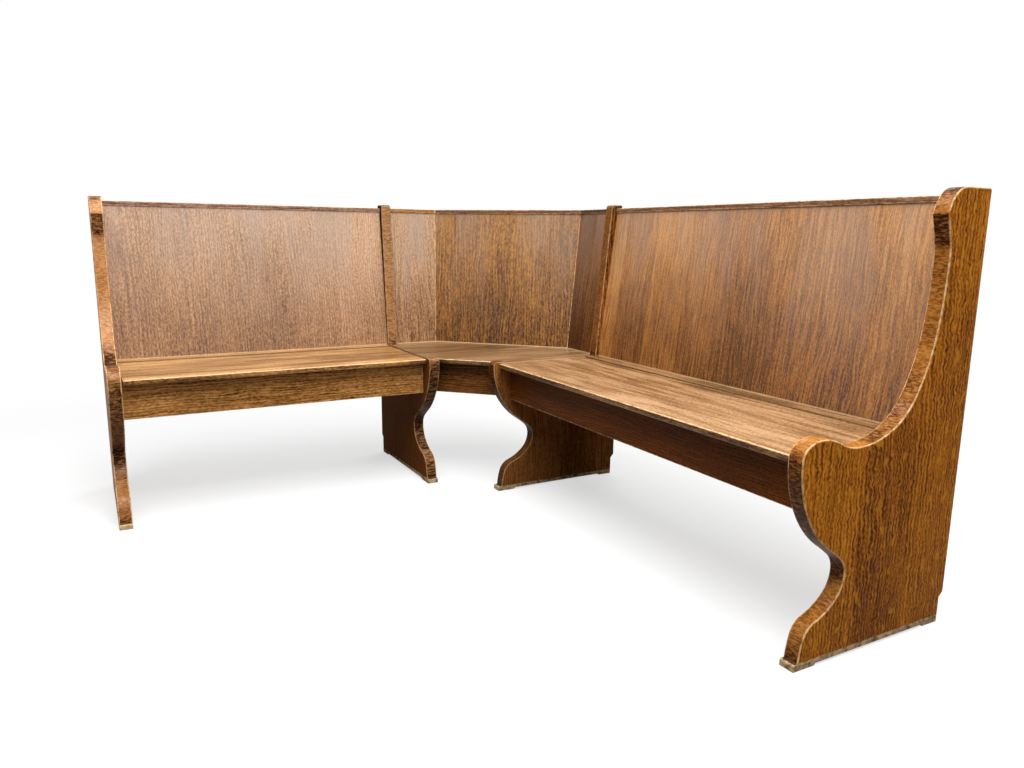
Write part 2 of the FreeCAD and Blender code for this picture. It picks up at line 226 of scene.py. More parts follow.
# Dark, mid, light and golden tones as shares of a stain's red, green and blue
stain_scales = (
    (0.19, 0.14, 0.1, 1.0),
    (1.0, 1.0, 1.0, 1.0),
    (1.9, 2.3, 3.2, 1.0),
    (2.1, 2.7, 3.0, 1.0),
)


def stain(code):
    """Dark, mid, light and golden tones of one stain."""
    mid = colour(code)
    return [tuple(part * scale for part, scale in zip(mid, scales)) for scales in stain_scales]


def planks(g, wide, width, seed):
    """Number of the plank at a place across a board, and where it is across that plank."""
    steps = g.maths("ADD", g.maths("DIVIDE", wide, width), seed)
    return g.maths("FLOOR", steps), signed(g, g.maths("FRACT", steps), width)


def crisp(g, value, amount):
    """Noise from 0 to 1 with its middle made steep, as a shift either way."""
    return g.between(value, 0.38, 0.62, -0.5 * amount, 0.5 * amount)


# Look of plain oak; each kind of board changes some of these values
plain_oak = {
    "plank": 0.15,  # width of the planks or veneer leaves that lie side by side
    "heart": 0.6,  # how far aside the tree's heart lies, in plank widths
    "pitch": 0.0085,  # from ring to ring
    "rings": 0.4,  # strength of the rings
    "fine": 150.0,  # long lines per metre across the grain
    "stretch": 20.0,  # how many times as long as wide a line is
    "lines": 0.28,  # strength of the long lines
    "octaves": 1.0,  # finer lines within the long lines
    "short": 300.0,  # short dashes per metre across the grain
    "dashes": 0.38,  # strength of the short dashes
    "flecks": 0.1,  # strength of the golden flecks
    "patches": 0.4,  # strength of broad patches and of steps from plank to plank
    # painted glare, a pale veil of painted reflection towards the top of a back:
    "haze": 0.0,  # pale bloom towards the top of a back
    # painted shade, darker towards the foot; below 0 it darkens the top:
    "deepen": 0.0,  # how much darker the foot of a back is than its top
    "foot": 0.0,  # pale line where a back meets the seat
    # painted shade: a dark band where the seat's overhang shades the apron
    "grime": 0.0,  # dark band under the overhang of a seat
    # painted shade:
    "sides": 0.0,  # how much darker the narrow sides of a seat are
    "gloss": 0.45,  # mean roughness
    "shine": 0.06,  # specular level
    "coat": 0.0,  # weight of the varnish
    "rub": 0.75,  # strength of the wear on arrises
    "wave": 0.0,  # how far the grain waves from side to side
    # painted shade of the gap at a joint:
    "joint": None,  # place along X of a dark joint
}

# Figure of the oak, in features per metre across, in depth and along the grain
sway_scale = (6.0, 6.0, 2.2)
ripple_scale = (40.0, 40.0, 13.0)
wiggle_scale = (130.0, 130.0, 34.0)
wave_scale = (14.0, 14.0, 40.0)
firm_scale = (60.0, 60.0, 9.0)
fleck_scale = (100.0, 100.0, 30.0)
patch_scale = (5.0, 5.0, 2.6)
cloud_scale = (9.0, 9.0, 2.0)
dash_stretch = 3

# How far the rings wander, and where the tree's heart lies behind a board
sway_reach = 0.05
ripple_reach = 0.012
wiggle_reach = 0.004
heart_depth = 0.05
heart_lean = 0.03
heart_spread = 0.5
mirror_depth = 0.02
plank_shift = 3.0
second_draw = 40.5  # keeps a plank's second chance apart from its first

# Heights and widths of the painted shade, the painted glare and the pale foot line
deep_below = 0.45
pale_above = 0.95
overhang_shade_start = 0.018
overhang_shade_full = 0.004
foot_full = 0.003
foot_end = 0.005
joint_full = 0.005
joint_end = 0.009
joint_shade = 0.95
seat_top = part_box("corner_seat")[1].z
apron_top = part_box("left_apron")[1].z
seat_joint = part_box("corner_seat")[0].x

# Shares of rings, patches and plank steps in the tone, and of patches, dashes and bare wood in the roughness
ring_tone = 0.5
patch_tone = 1.3
step_tone = 0.6
patch_rough = 0.2
dash_rough = 0.2
bare_rough = 0.12

# Relief of the grain and roughness of the varnish
grain_bump = 0.3
grain_relief = 0.0005
coat_gloss = 0.25
edge_coat_gloss = 0.12


def oak(name, along, across, code, seed, **changes):
    """Stained oak: planks side by side, each with its own rings, lines, dashes and flecks."""
    g = Graph(name)
    look = SimpleNamespace(**{**plain_oak, **changes})
    dark, mid, light, glow = stain(code)
    wide, long, deep = [g.dot(axis) for axis in (across, along, along.cross(across))]
    number, local = planks(g, wide, look.plank, seed)
    chance = g.dice(number)
    other = g.dice(g.maths("ADD", number, second_draw))
    shifted = g.maths("ADD", long, g.maths("MULTIPLY", chance, plank_shift))
    grain = g.join(g.maths("ADD", wide, seed), deep, shifted)

    # Rings lie at even distances from a tree axis that drifts and wanders behind the board
    sway = g.noise(grain, sway_scale, 2.0)
    ripple = g.noise(grain, ripple_scale, 2.0)
    wiggle = g.noise(grain, wiggle_scale, 1.0)
    wander = total(g, signed(g, sway, sway_reach), signed(g, ripple, ripple_reach),
                   signed(g, wiggle, wiggle_reach))
    if look.wave:
        wander = g.maths("ADD", wander, signed(g, g.noise(grain, wave_scale, 1.0), look.wave))
    aside = g.maths("ADD", g.maths("MULTIPLY", other, heart_spread), look.heart)
    side = total(g, local, g.maths("MULTIPLY", aside, look.plank), wander)
    back = total(g, g.maths("PINGPONG", deep, mirror_depth), heart_depth,
                 g.maths("MULTIPLY", long, heart_lean))
    radius = g.vector("LENGTH", g.join(side, back, 0.0))
    ring = g.maths("SINE", g.maths("MULTIPLY", radius, 2 * math.pi / look.pitch))
    firmness = g.between(g.noise(grain, firm_scale, 1.0), 0.3, 0.65, 0.25, 1.0)
    ring = g.maths("MULTIPLY", ring, firmness)

    # Lines, dashes and flecks lie along the grain and follow its wandering
    bent = g.join(g.maths("ADD", wide, wander), deep, shifted)
    line = g.noise(bent, (look.fine, look.fine, look.fine / look.stretch), look.octaves, 0.7)
    dash = g.noise(bent, (look.short, look.short, look.short / dash_stretch), 0.0)
    fleck = g.between(g.noise(bent, fleck_scale, 1.0), 0.6, 0.7, 0.0, look.flecks)
    patch = g.noise(g.join(g.maths("ADD", wide, seed), deep, long), patch_scale, 3.0)

    # Painted shade: darker towards the foot of a back (towards the top where the value is below 0), under a
    # seat's overhang and on a seat's narrow faces
    height = g.dot(Z)
    rise = g.between(height, deep_below, pale_above)
    shading = [g.maths("MULTIPLY", g.maths("SUBTRACT", rise, 0.5), look.deepen)]
    # Painted shade: a dark band at the top of an apron, under the seat's overhang
    if look.grime:
        shading.append(g.between(height, apron_top - overhang_shade_start, apron_top - overhang_shade_full, 0.0, -look.grime))
    varnish = look.coat
    # Painted shade on a seat's narrow faces, with less varnish there
    if look.sides:
        facing = g.between(g.maths("ABSOLUTE", g.upward()), 0.3, 0.8)
        shading.append(g.maths("MULTIPLY", g.maths("SUBTRACT", facing, 1.0), look.sides))
        varnish = g.maths("MULTIPLY", facing, look.coat)

    # Tone from dark through mid to light, then flecks, painted glare and wear
    tone = total(g, 0.5, g.maths("MULTIPLY", ring, ring_tone * look.rings), crisp(g, line, look.lines),
                 crisp(g, dash, look.dashes), signed(g, patch, patch_tone * look.patches),
                 signed(g, chance, step_tone * look.patches), *shading)
    base = g.ramp(tone, [(0.0, dark), (0.5, mid), (1.0, light)])
    base = g.mix(fleck, base, glow)
    # Painted glare: a patchy pale veil rising towards the top of a back, standing for a reflection
    if look.haze:
        cloud = g.noise(grain, cloud_scale, 2.0)
        cloud = g.between(cloud, 0.35, 0.65, 0.4 * look.haze, 1.2 * look.haze)
        base = g.mix(g.maths("MULTIPLY", cloud, rise), base, glare_tone)
    if look.foot:
        near = g.between(height, seat_top + foot_full, seat_top + foot_end, look.foot, 0.0)
        base = g.mix(near, base, rubbed_tone)
    base, bare = rubbed(g, base, look.rub)
    # Painted shade of the gap between the left lid and the corner seat: a dark band across the joint
    if look.joint is not None:
        apart = g.maths("ABSOLUTE", g.maths("SUBTRACT", g.dot(X), look.joint))
        base = g.mix(g.between(apart, joint_full, joint_end, joint_shade, 0.0), base, dark)

    rough = total(g, look.gloss, signed(g, patch, patch_rough), signed(g, dash, dash_rough),
                  g.maths("MULTIPLY", bare, bare_rough))
    g.bump(total(g, line, dash, g.maths("MULTIPLY", ring, 0.3)), grain_bump, grain_relief)
    return g.finish(Base_Color=base, Roughness=rough, Specular_IOR_Level=look.shine, Coat_Weight=varnish,
                    Coat_Roughness=coat_gloss)


# Sawn edges: width of the glued-up planks, features per metre, and the heights where wear with painted
# light, and painted shade, set in
edge_plank = 0.16
edge_slimness = 0.7  # share of the features that is lost along a dash
mottle_scale = (400.0, 400.0, 400.0)
blotch_scale = (22.0, 22.0, 14.0)
wear_and_light_from = 0.42
wear_and_light_full = 0.55
arm_from = 0.2
arm_full = 0.4
crown_from = 0.8
crown_full = 0.95
crown_shade = -0.55

# Shares of wear with painted light, plank steps, mottle and patches in the tone of a sawn edge, then its
# flecks and gloss
edge_wear_and_light = 0.4
edge_step = 0.35
edge_mottle = 0.4
edge_patch = 0.7
edge_fleck = 0.35
edge_gloss = 0.3
edge_shine = 0.05
edge_polish = 0.14


def edge_oak(name, through, across, code, seed, wear_and_light_above, shade, level=0.0, dashes=0.32, fine=300.0, rub=0.75):
    """Sawn edge of a glued-up end. The value after seed lightens it above the seat, and upward faces are
    lighter: wear with painted light. Upward faces are darker at the crown, painted shade, and level shifts
    them at arm height, painted light above 0 and painted shade below 0.
    """
    g = Graph(name)
    mid, light = stain(code)[1:3]
    place = g.vector("ADD", g.place, (seed, seed, seed))
    upward = g.upward()
    chance = g.dice(planks(g, g.dot(across), edge_plank, seed)[0])
    dash_scale = (Vector((1, 1, 1)) - through * edge_slimness) * fine
    dash = g.noise(place, dash_scale, 1.0, 0.6)
    mottle = g.noise(place, mottle_scale, 1.0, 0.6)
    patch = g.noise(place, blotch_scale, 3.0, 0.6)
    height = g.dot(Z)
    # Wear with painted light: lighter above the seat and where the edge faces up
    above = g.between(height, wear_and_light_from, wear_and_light_full, 0.0, wear_and_light_above)
    above = g.maths("MULTIPLY", above, g.between(upward, -0.3, -0.05))
    worn = g.maths("MAXIMUM", g.between(upward, -0.1, 0.5), above)
    # Painted light and shade on upward faces: level at arm height, darker at the crown
    lift = g.between(height, crown_from, crown_full, level, crown_shade)
    lift = g.maths("MULTIPLY", g.between(height, arm_from, arm_full), lift)
    top = g.maths("MULTIPLY", g.between(upward, 0.45, 0.9), lift)
    tone = total(g, shade, g.maths("MULTIPLY", worn, edge_wear_and_light), top, signed(g, chance, edge_step),
                 crisp(g, dash, dashes), signed(g, mottle, edge_mottle), signed(g, patch, edge_patch))
    base = g.ramp(tone, [(0.0, edge_shade), (0.5, mid), (1.0, light)])
    fleck = g.between(g.noise(place, dash_scale * 0.7, 0.0), 0.58, 0.66)
    base = g.mix(g.maths("MULTIPLY", fleck, edge_fleck), base, light)
    base, bare = rubbed(g, base, rub)
    rough = total(g, edge_gloss, g.maths("MULTIPLY", mottle, 0.16), g.maths("MULTIPLY", bare, 0.1))
    g.bump(g.maths("ADD", dash, mottle), grain_bump, grain_relief)
    polish = g.between(upward, 0.1, 0.35, 0.0, edge_polish)
    return g.finish(Base_Color=base, Roughness=rough, Specular_IOR_Level=edge_shine, Coat_Weight=polish,
                    Coat_Roughness=edge_coat_gloss)


# Patina and scratches of steel, in features per metre
patina_scale = (140.0, 140.0, 140.0)
scratch_scale = (900.0, 900.0, 90.0)
scratch_bump = 0.15
scratch_relief = 0.0002


def steel(name, tones, gloss):
    """Plain steel with a blotchy patina and fine scratches."""
    g = Graph(name)
    dark, light = [colour(code) for code in tones]
    blotch = g.noise(g.place, patina_scale, 4.0, 0.65)
    scratch = g.noise(g.place, scratch_scale, 2.0)
    tone = g.maths("ADD", g.maths("MULTIPLY", blotch, 0.7), g.maths("MULTIPLY", scratch, 0.3))
    base = g.ramp(tone, [(0.3, dark), (0.7, light)])
    rough = g.maths("ADD", gloss, g.maths("MULTIPLY", blotch, 0.25))
    g.bump(scratch, scratch_bump, scratch_relief)
    return g.finish(Base_Color=base, Roughness=rough, Metallic=0.9)


# What each kind of board changes in plain oak
panel_gloss = {"gloss": 0.38, "shine": 0.5, "coat": 0.35, "rings": 0.25, "foot": 0.6}
right_gloss = {**panel_gloss, "rings": 0.14, "patches": 0.6}
corner_gloss = {"gloss": 0.42, "shine": 0.3, "coat": 0.1, "pitch": 0.01, "foot": 0.6}
# Seats: painted shade on their narrow faces
seat_gloss = {"gloss": 0.36, "shine": 0.15, "coat": 0.35, "fine": 45.0, "stretch": 12.0, "octaves": 3.0,
              "lines": 0.4, "dashes": 0.3, "rings": 0.25, "plank": 0.18, "patches": 0.6, "sides": 0.42,
              "rub": 0.7}
# Seats beside the left lid's end get the painted shade of the gap
joined_seat = {**seat_gloss, "joint": seat_joint}
end_look = {"plank": edge_plank, "pitch": 0.0095, "rings": 0.62, "wave": 0.02, "lines": 0.25, "short": 380.0,
            "flecks": 0.6, "patches": 0.4, "shine": 0.03}
# Inner ends: painted shade under the seats, darker towards the top; the left one's top darker still, where
# its upright's side is in shade
shaded_inner_end_look = {"plank": edge_plank, "shine": 0.01, "gloss": 0.6, "deepen": -0.4, "rub": 0.4}
shaded_top_look = {**shaded_inner_end_look, "deepen": -0.9}
long_board = {"plank": 0.3, "lines": 0.22, "dashes": 0.28}
# Aprons get a painted shade band under the seat's overhang
apron_look = {**long_board, "grime": 0.45}
unseen = {"gloss": 0.65, "shine": 0.05, "lines": 0.2, "dashes": 0.18, "flecks": 0.0, "patches": 0.2}

# Each oak: name, directions along and across the grain, stain, seed and look. The stains differ from board
# to board partly as painted light and shade, darker on boards that face away from the lamps.
materials = {
    "left_outer_end": oak("oak_left_outer_end", Z, Y, "955410", 0.31, **end_look),
    "right_outer_end": oak("oak_right_outer_end", Z, X, "955410", 0.77, **end_look),
    # The inner ends' darker stains are painted shade
    "left_inner_end": oak("oak_left_inner_end", Z, Y, "552b0b", 0.63, **shaded_top_look),
    "right_inner_end": oak("oak_right_inner_end", Z, X, "6f4019", 0.21, **shaded_inner_end_look),
    "left_outer_edge": edge_oak("oak_left_outer_edge", X, Y, "966236", 0.2, wear_and_light_above=1.65, shade=0.04,
                                level=-0.36),
    "right_outer_edge": edge_oak("oak_right_outer_edge", Y, X, "925a22", 0.7, wear_and_light_above=1.18, shade=-0.06,
                                 level=0.07),
    # Inner edges: darker stains and a lower shade value, painted shade under the seats
    "left_inner_edge": edge_oak("oak_left_inner_edge", X, Y, "78502c", 0.4, wear_and_light_above=1.8, shade=0.02,
                                dashes=0.65, fine=180.0, rub=0.5),
    "right_inner_edge": edge_oak("oak_right_inner_edge", Y, X, "70431b", 0.9, wear_and_light_above=1.85, shade=-0.16,
                                 rub=0.4),
    # Backs: painted shade towards the foot, painted glare towards the top
    "left_panel": oak("oak_left_back", LEFT_BACK, X, "9d734c", 0.13, plank=0.19, heart=0.4, lines=0.1,
                      dashes=0.28, short=310.0, deepen=0.2, haze=0.4, **panel_gloss, patches=0.35),
    "right_panel": oak("oak_right_back", RIGHT_BACK, Y, "996229", 0.58, plank=0.17, pitch=0.013, deepen=0.38,
                       haze=0.32, fine=240.0, stretch=24.0, lines=0.34, short=400.0, dashes=0.26,
                       **right_gloss),
    "corner_left_panel": oak("oak_corner_left_back", LEFT_BACK, X, "8d643c", 0.71, plank=0.12, deepen=0.45,
                             haze=0.5, **panel_gloss),
    "corner_diagonal_panel": oak("oak_corner_back", CORNER_BACK, DIAGONAL, "7d4f1b", 0.44, plank=0.13,
                                 deepen=0.3, haze=0.3, **corner_gloss),
    "corner_right_panel": oak("oak_corner_right_back", RIGHT_BACK, Y, "663c14", 0.37, plank=0.12,
                              deepen=0.5, haze=0.25, **corner_gloss),
    "left_seat": oak("oak_left_seat", X, Y, "a37541", 0.91, **joined_seat),
    "right_seat": oak("oak_right_seat", Y, X, "8d663f", 0.27, **seat_gloss),
    "corner_seat": oak("oak_corner_seat", X, Y, "775634", 0.47, **joined_seat),
    "left_apron": oak("oak_left_apron", X, Z, "a8733a", 0.63, **apron_look),
    "right_apron": oak("oak_right_apron", Y, Z, "602f06", 0.39, **apron_look),
    "diagonal_apron": oak("oak_corner_apron", DIAGONAL, Z, "6b3f18", 0.15, **apron_look),
    "left_rail": oak("oak_left_rail", X, Z, "926d5a", 0.83, **long_board),
    "corner_left_rail": oak("oak_corner_left_rail", X, Z, "8f5f33", 0.33, **long_board),
    "right_rail": oak("oak_right_rail", Y, Z, "775339", 0.19, **long_board),
    "corner_diagonal_rail": oak("oak_corner_rail", DIAGONAL, Z, "6a4630", 0.55, **long_board),
    "corner_right_rail": oak("oak_corner_right_rail", Y, Z, "6a4630", 0.75, **long_board),
    "left_shoe": oak("oak_left_shoes", Y, X, "3d2d20", 0.21, **unseen),
    "right_shoe": oak("oak_right_shoes", X, Y, "3d2d20", 0.52, **unseen),
    "left_inner": oak("plain_wood_left", X, Y, "a5793f", 0.35, **unseen),
    "right_inner": oak("plain_wood_right", Y, X, "a5793f", 0.85, **unseen),
    "upright_inner": oak("plain_wood_upright", Z, X, "a5793f", 0.65, **unseen),
    "rear": oak("oak_rear", Z, X, "96653a", 0.95, **unseen),
    "hinge": steel("hinge_steel", ("3a2816", "7a5a34"), 0.4),
    "zinc": steel("zinc_steel", ("77797b", "b4b6b8"), 0.28),
}


def add_piece(name, bm, body, nodes, finishes):
    """A smooth-shaded object from a mesh in the making, riding on a body and standing for solids."""
    bmesh.ops.recalc_face_normals(bm, faces=bm.faces)
    mesh = bpy.data.meshes.new(name)
    bm.to_mesh(mesh)
    bm.free()
    for finish in finishes:
        mesh.materials.append(materials[finish])
    mesh.shade_smooth()
    mesh.set_sharp_from_angle(angle=shade_turn)
    piece = bpy.data.objects.new(name, mesh)
    bpy.context.scene.collection.objects.link(piece)
    normals = piece.modifiers.new("normals", "WEIGHTED_NORMAL")
    normals.keep_sharp = True
    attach(piece, body)
    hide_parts(*nodes)


def solid_mesh(node):
    """A solid's facets, welded, with flat faces made whole."""
    bm = bmesh.new()
    bm.from_mesh(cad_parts[node].data)
    bmesh.ops.remove_doubles(bm, verts=bm.verts, dist=weld)
    bmesh.ops.dissolve_limit(bm, angle_limit=flat_turn, verts=bm.verts, edges=bm.edges)
    return bm


def dress_board(node, finish, rounding, body="bench", band=wear_width, upper_only=False, rear=None):
    """A board with softened arrises and a worn band beside each of them."""
    bm = solid_mesh(node)
    sharp = [edge for edge in bm.edges if edge.calc_face_angle(0.0) > crisp_turn]
    bmesh.ops.bevel(bm, geom=sharp, offset=rounding, offset_type="OFFSET", segments=arris_steps, profile=0.5,
                    affect="EDGES")
    wear = bm.verts.layers.float.new("wear")
    bm.normal_update()
    for vert in bm.verts:
        vert[wear] = 1.0 if vert.normal.z > upper_turn or not upper_only else 0.0
    large = [face for face in bm.faces if 2 * face.calc_area() / face.calc_perimeter() > band_room * band]
    bmesh.ops.inset_individual(bm, faces=large, thickness=band, use_even_offset=True)
    for face in large:
        for vert in face.verts:
            vert[wear] = 0.0
    finishes = [finish]
    if rear:
        finishes.append(rear)
        bm.normal_update()
        for face in bm.faces:
            face.material_index = 1 if face.normal.x + face.normal.y > rear_turn else 0
    add_piece(node + "_board", bm, body, [node], finishes)


def thin_axis(node):
    """Number of the axis along which a solid is thinnest."""
    low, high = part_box(node)
    size = high - low
    return min(range(3), key=lambda axis: size[axis])


def side_loops(node, axis):
    """Outlines on the low side of an end board as lists of 2-D points, the longest first."""
    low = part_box(node)[0][axis]
    flat_axis = 1 - axis
    bm = solid_mesh(node)
    side = {face for face in bm.faces if all(abs(vert.co[axis] - low) < weld * 10 for vert in face.verts)}
    following = {}
    for face in side:
        for loop in face.loops:
            if sum(other in side for other in loop.edge.link_faces) == 1:
                following[loop.vert] = loop.link_loop_next.vert
    loops = []
    while following:
        vert, after = following.popitem()
        chain = [vert]
        while after is not chain[0]:
            chain.append(after)
            after = following.pop(after)
        loops.append([Vector((v.co[flat_axis], v.co.z)) for v in chain])
    bm.free()
    return sorted(loops, key=len, reverse=True)


def rounded_outline(points, steps=3):
    """The outline with its facets turned into smooth curves; crisp corners and long straight runs stay."""
    count = len(points)
    runs = [points[(i + 1) % count] - points[i] for i in range(count)]

    def heading(i):
        before, after = runs[i - 1], runs[i]
        if before.angle(after) > crisp_turn:
            return None
        if after.length > long_run * before.length:
            return after.normalized()
        if before.length > long_run * after.length:
            return before.normalized()
        return (before.normalized() * after.length + after.normalized() * before.length).normalized()

    smooth = []
    for i, run in enumerate(runs):
        smooth.append(points[i])
        chord = run.normalized()
        start, end = heading(i), heading((i + 1) % count)
        if start is None and end is None:
            continue
        if start is None:
            start = chord * 2 * chord.dot(end) - end
        if end is None:
            end = chord * 2 * chord.dot(start) - start
        if start.angle(end) < flat_turn:
            continue
        for step in range(1, steps):
            t = step / steps
            point = points[i] + run * (t * t * (3 - 2 * t))
            point += (start * (t * (1 - t) ** 2) - end * (t * t * (1 - t))) * run.length
            smooth.append(point)
    return smooth


def inward(points):
    """For each outline point, the step that moves both neighbouring edges inwards by one unit."""
    count = len(points)
    area = sum(points[i - 1].cross(points[i]) for i in range(count))
    turn = 1.0 if area > 0 else -1.0
    normals = []
    for i in range(count):
        run = (points[(i + 1) % count] - points[i]).normalized()
        normals.append(Vector((-run.y, run.x)) * turn)
    return [(normals[i - 1] + normals[i]) / (1 + normals[i - 1].dot(normals[i])) for i in range(count)]


def rim_profile(thickness):
    """Rings of an end board from one side to the other: inset, depth and wear."""
    half = [(end_round + wear_width, 0.0, 0.0)]
    for step in range(arris_steps + 1):
        angle = math.radians(90 / arris_steps * step)
        half.append((end_round * (1 - math.sin(angle)), end_round * (1 - math.cos(angle)), 1.0))
    half.append((0.0, end_round + wear_width, 0.0))
    return half + [(inset, thickness - depth, worn) for inset, depth, worn in reversed(half)]


def dress_end(node, face_finish, edge_finish):
    """A scrolled end board with smooth curves, rounded arrises and its own sawn edge."""
    axis = thin_axis(node)
    low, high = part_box(node)
    loops = side_loops(node, axis)
    outline = rounded_outline(loops[0])
    inner = inward(outline)
    bm = bmesh.new()
    wear = bm.verts.layers.float.new("wear")

    def ring(points, depth, worn):
        verts = []
        for point in points:
            place = Vector((0, 0, point.y))
            place[axis] = low[axis] + depth
            place[1 - axis] = point.x
            vert = bm.verts.new(place)
            vert[wear] = worn
            verts.append(vert)
        return verts

    def bridge(first, second, index):
        for i in range(len(first)):
            face = bm.faces.new((first[i - 1], first[i], second[i], second[i - 1]))
            face.material_index = index

    thickness = high[axis] - low[axis]
    profile = rim_profile(thickness)
    rings = []
    for inset, depth, worn in profile:
        rings.append(ring([p + n * inset for p, n in zip(outline, inner)], depth, worn))
    for i in range(len(rings) - 1):
        on_edge = profile[i][0] == 0.0 and profile[i + 1][0] == 0.0
        bridge(rings[i], rings[i + 1], 1 if on_edge else 0)
    rims = [[rings[0]], [rings[-1]]]
    for hole in loops[1:]:
        mouths = [ring(hole, depth, 0.0) for depth in (0.0, thickness)]
        bridge(mouths[0], mouths[1], 0)
        rims[0].append(mouths[0])
        rims[1].append(mouths[1])
    for rim in rims:
        edges = [bm.edges.get((verts[i - 1], verts[i])) for verts in rim for i in range(len(verts))]
        bmesh.ops.triangle_fill(bm, use_beauty=True, use_dissolve=False, edges=edges)
    add_piece(node + "_board", bm, "bench", [node], [face_finish, edge_finish])


def add_slab(bm, low, high):
    """A box between two corners."""
    spans = [(low[axis], high[axis]) for axis in range(3)]
    corners = [bm.verts.new((x, y, z)) for x in spans[0] for y in spans[1] for z in spans[2]]
    for quad in ((0, 1, 3, 2), (4, 6, 7, 5), (0, 4, 5, 1), (2, 3, 7, 6), (0, 2, 6, 4), (1, 5, 7, 3)):
        bm.faces.new([corners[i] for i in quad])


def add_knuckle(bm, axis, start, end, centre):
    """A rolled knuckle along X or Y with softened ends."""
    stations = [
        (start, knuckle_radius - knuckle_chamfer),
        (start + knuckle_chamfer, knuckle_radius),
        (end - knuckle_chamfer, knuckle_radius),
        (end, knuckle_radius - knuckle_chamfer),
    ]
    rings = []
    for along, radius in stations:
        verts = []
        for i in range(knuckle_sides):
            angle = 2 * math.pi * i / knuckle_sides
            place = Vector((0, 0, centre.z + radius * math.sin(angle)))
            place[axis] = along
            place[1 - axis] = centre[1 - axis] + radius * math.cos(angle)
            verts.append(bm.verts.new(place))
        rings.append(verts)
    for first, second in zip(rings, rings[1:]):
        for i in range(knuckle_sides):
            bm.faces.new((first[i - 1], first[i], second[i], second[i - 1]))
    bm.faces.new(rings[0])
    bm.faces.new(rings[-1])


def add_hinge_leaf(side, parity, node, body):
    """One leaf of a continuous hinge: a plate in the joint and every second knuckle with its tab."""
    low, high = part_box(node)
    size = high - low
    axis = 0 if size.x > size.y else 1
    pin_low, pin_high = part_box(side + "_hinge_pin")
    centre = (pin_low + pin_high) / 2
    behind = high[1 - axis] - knuckle_radius > centre[1 - axis] + weld
    bm = bmesh.new()
    plate_low = low.copy()
    plate_high = high.copy()
    if behind:
        plate_low[1 - axis] = high[1 - axis] - leaf_thickness
    else:
        plate_high[1 - axis] = low[1 - axis] + leaf_thickness
    plate_high.z = centre.z - leaf_top_drop
    add_slab(bm, plate_low, plate_high)
    count = round(size[axis] / knuckle_pitch)
    pitch = size[axis] / count
    for index in range(parity, count, 2):
        start = low[axis] + index * pitch + knuckle_gap / 2
        end = start + pitch - knuckle_gap
        add_knuckle(bm, axis, start, end, centre)
        tab_low = plate_low.copy()
        tab_high = plate_high.copy()
        tab_low[axis] = start
        tab_high[axis] = end
        tab_low.z = plate_high.z
        tab_high.z = centre.z
        add_slab(bm, tab_low, tab_high)
    add_piece(node + "_fine", bm, body, [node], ["hinge"])


def dress_bench(side):
    """All boards and the hinge of one straight bench."""
    lid = side + "_lid"
    for place in (side + "_outer_", side + "_inner_"):
        dress_end(place + "end", place + "end", place + "edge")
        dress_board(place + "shoe", side + "_shoe", board_round)
    dress_board(side + "_back_panel", side + "_panel", thin_round, rear="rear")
    dress_board(side + "_top_rail", side + "_rail", board_round)
    dress_board(side + "_apron", side + "_apron", board_round)
    dress_board(side + "_hinge_strip", side + "_seat", thin_round)
    dress_board(side + "_seat_lid", side + "_seat", thin_round, lid, seat_band, upper_only=True)
    for name in ("rear_rail", "tray_floor", "tray_ledges", "seat_bearers"):
        dress_board(side + "_" + name, side + "_inner", thin_round)
    dress_board(side + "_back_cleats", "upright_inner", thin_round)
    add_hinge_leaf(side, 0, side + "_hinge_fixed_leaf", "bench")
    add_hinge_leaf(side, 1, side + "_hinge_lid_leaf", lid)


def dress_corner():
    """The fixed corner seat, its apron, backs and rails."""
    dress_board("corner_seat", "corner_seat", thin_round, band=seat_band, upper_only=True)
    dress_board("corner_apron", "diagonal_apron", board_round)
    for name in ("left", "diagonal", "right"):
        panel = "corner_" + name + "_panel"
        rail = "corner_" + name + "_rail"
        dress_board(panel, panel, thin_round, rear="rear")
        dress_board(rail, rail, board_round)
    dress_board("corner_left_rear_rail", "left_inner", thin_round)
    dress_board("corner_right_rear_rail", "right_inner", thin_round)
    dress_board("corner_diagonal_rear_rail", "left_inner", thin_round)
    dress_board("corner_seat_bearers", "left_inner", thin_round)
    for name in ("corner_back_cleats", "corner_joint_blocks"):
        dress_board(name, "upright_inner", thin_round)


def finish_solids():
    """Finishes of the solids that stay as they are."""
    pins = ("left_hinge_pin", "right_hinge_pin")
    fasteners = ("joining_bolts", "joining_nuts", "joining_washers")
    for finish, nodes in (("hinge", pins), ("zinc", fasteners)):
        for node in nodes:
            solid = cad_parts[node].data
            solid.materials.clear()
            solid.materials.append(materials[finish])


def add_camera():
    """Camera at the fitted place, turned by yaw, pitch and roll."""
    data = bpy.data.cameras.new("camera")
    data.sensor_width = sensor_width
    data.lens = focal_pixels * sensor_width / image_width
    ahead = Vector((math.sin(camera_yaw), math.cos(camera_yaw), 0)) * math.cos(camera_pitch)
    ahead.z = math.sin(camera_pitch)
    level = Vector((math.cos(camera_yaw), -math.sin(camera_yaw), 0))
    upright = level.cross(ahead)
    right = level * math.cos(camera_roll) + upright * math.sin(camera_roll)
    up = upright * math.cos(camera_roll) - level * math.sin(camera_roll)
    turn = Matrix((right, up, -ahead)).transposed().to_4x4()
    camera = bpy.data.objects.new("camera", data)
    camera.matrix_world = Matrix.Translation(camera_place) @ turn
    bpy.context.scene.collection.objects.link(camera)
    bpy.context.scene.camera = camera


def add_softbox(name, place, target, width, depth, power):
    """Rectangular soft light aimed at a point."""
    data = bpy.data.lights.new(name, "AREA")
    data.shape = "RECTANGLE"
    data.size = width
    data.size_y = depth
    data.energy = power
    light = bpy.data.objects.new(name, data)
    light.location = place
    light.rotation_euler = (Vector(target) - Vector(place)).to_track_quat("-Z", "Y").to_euler()
    bpy.context.scene.collection.objects.link(light)


